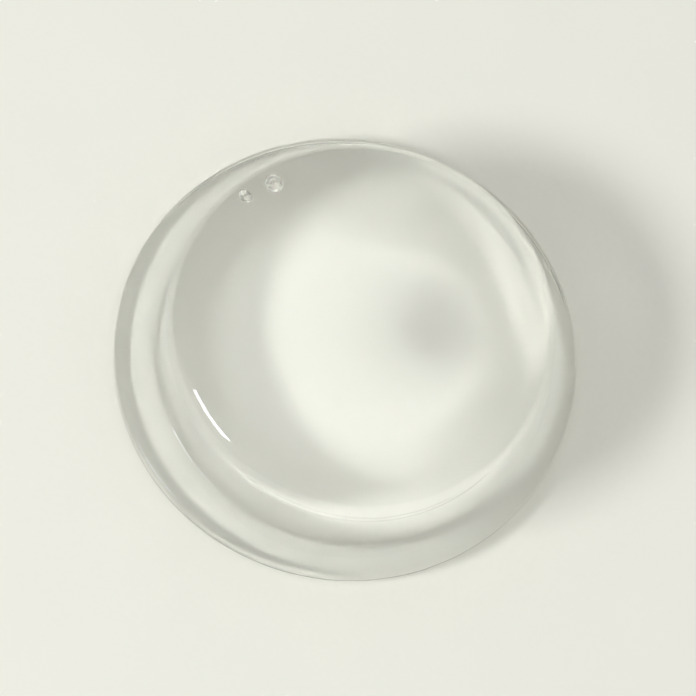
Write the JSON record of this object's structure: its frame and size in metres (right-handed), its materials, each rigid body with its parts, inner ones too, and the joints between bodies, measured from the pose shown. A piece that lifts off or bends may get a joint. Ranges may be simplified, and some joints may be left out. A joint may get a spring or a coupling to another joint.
{
  "type": "cabinet door bumper",
  "caption": "Clear round self-adhesive bumper: a cast button with rounded shoulders and a shallow dish in its top, on a thin wider foot, stuck inside a cabinet door or drawer front to soften its closing.",
  "frame": {"origin": "centre of the sticking face under the adhesive pad", "axes": "+Z from the sticking face to the contact face, along the axis of the round body; X and Y lie in the sticking face"},
  "size_m": [0.0126, 0.0126, 0.0035],
  "materials": {
    "clear_polyurethane": "clear, glossy as cast",
    "clear_adhesive": "clear, tacky"
  },
  "bodies": {
    "root": {"bumper_body": "clear_polyurethane", "adhesive_pad": "clear_adhesive"}
  },
  "joints": []
}
